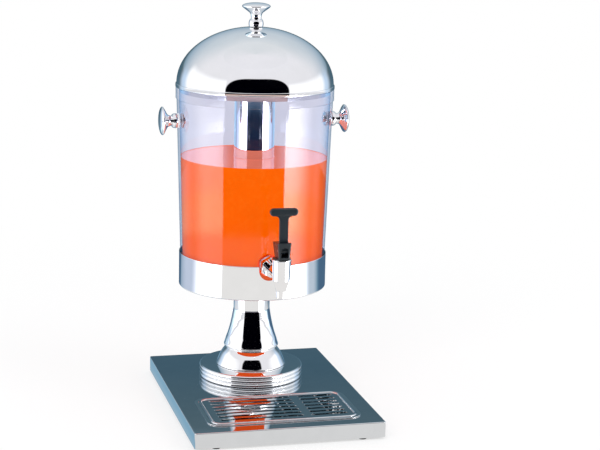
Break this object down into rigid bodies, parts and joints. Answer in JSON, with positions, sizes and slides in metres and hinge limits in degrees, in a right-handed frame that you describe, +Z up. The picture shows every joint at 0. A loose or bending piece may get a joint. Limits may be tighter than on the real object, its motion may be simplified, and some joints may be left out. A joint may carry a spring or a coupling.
{
  "type": "juice dispenser",
  "caption": "Countertop drink dispenser: clear tank with ice tube and dome lid on a polished stand, self-closing T-lever tap over a slotted drip tray.",
  "frame": {"origin": "on the surface that the feet stand on, under the middle of the base", "axes": "+Z up, -Y to the tap's side, +X to the right for someone who faces the tap"},
  "size_m": [0.2734, 0.36, 0.5622],
  "materials": {
    "mirror_steel": "mirror-polished stainless sheet",
    "polished_steel": "polished stainless",
    "chrome": "bright chrome plate",
    "plain_steel": "plain steel hardware",
    "clear_plastic": "clear moulded plastic",
    "black_plastic": "satin black moulding",
    "board": "matt grey board",
    "black_rubber": "matt rubber",
    "silicone": "translucent white silicone"
  },
  "bodies": {
    "stand": {"base_cover": "mirror_steel", "base_board": "board", "base_spacer": "plain_steel", "foot_front_left": "black_rubber", "foot_front_right": "black_rubber", "foot_back_left": "black_rubber", "foot_back_right": "black_rubber", "foot_screw_front_left": "plain_steel", "foot_screw_front_right": "plain_steel", "foot_screw_back_left": "plain_steel", "foot_screw_back_right": "plain_steel", "ring_base": "polished_steel", "column": "polished_steel", "column_plug": "plain_steel", "tie_rod": "plain_steel", "tie_rod_washer": "plain_steel", "tie_rod_nut": "plain_steel", "collar": "polished_steel", "tank_pad": "black_rubber", "tank": "clear_plastic", "ice_tube": "polished_steel", "ice_tube_seal": "silicone", "ice_tube_nut": "plain_steel", "carry_knob_right": "chrome", "carry_seal_right": "silicone", "carry_inner_seal_right": "silicone", "carry_washer_right": "plain_steel", "carry_screw_right": "plain_steel", "carry_knob_left": "chrome", "carry_seal_left": "silicone", "carry_inner_seal_left": "silicone", "carry_washer_left": "plain_steel", "carry_screw_left": "plain_steel", "tap_body": "chrome", "tap_hex_nut": "chrome", "tap_seal_outer": "silicone", "tap_seal_inner": "silicone", "tap_inner_nut": "plain_steel", "tap_bonnet": "black_plastic", "lever_pin": "plain_steel"},
    "lid": {"lid_dome": "polished_steel", "lid_knob": "chrome", "lid_knob_washer": "plain_steel", "lid_knob_screw": "plain_steel"},
    "lever": {"tap_lever": "black_plastic"},
    "valve": {"valve_stem": "plain_steel", "seat_cup": "silicone", "tap_spring": "plain_steel"},
    "tray": {"drip_tray": "polished_steel"},
    "grille": {"drip_grille": "mirror_steel"}
  },
  "joints": [
    {"name": "lid_lift", "type": "slide", "parent": "stand", "child": "lid", "axis": [0, 0, 1], "range_m": [0, 0.1]},
    {"name": "lever_tilt", "type": "hinge", "parent": "stand", "child": "lever", "pos_m": [0, -0.11404, 0.2485], "axis": [1, 0, 0], "range_deg": [0, 22], "stiffness_Nm_per_rad": 0.4},
    {"name": "valve_lift", "type": "slide", "parent": "stand", "child": "valve", "axis": [0, 0, 1], "range_m": [0, 0.0031], "deforming": ["tap_spring"]},
    {"name": "tray_lift", "type": "slide", "parent": "stand", "child": "tray", "axis": [0, 0, 1], "range_m": [0, 0.06]},
    {"name": "grille_lift", "type": "slide", "parent": "tray", "child": "grille", "axis": [0, 0, 1], "range_m": [0, 0.03]}
  ],
  "couplings": [
    {"joint": "valve_lift", "follows": "lever_tilt", "m_per_rad": 0.008}
  ]
}
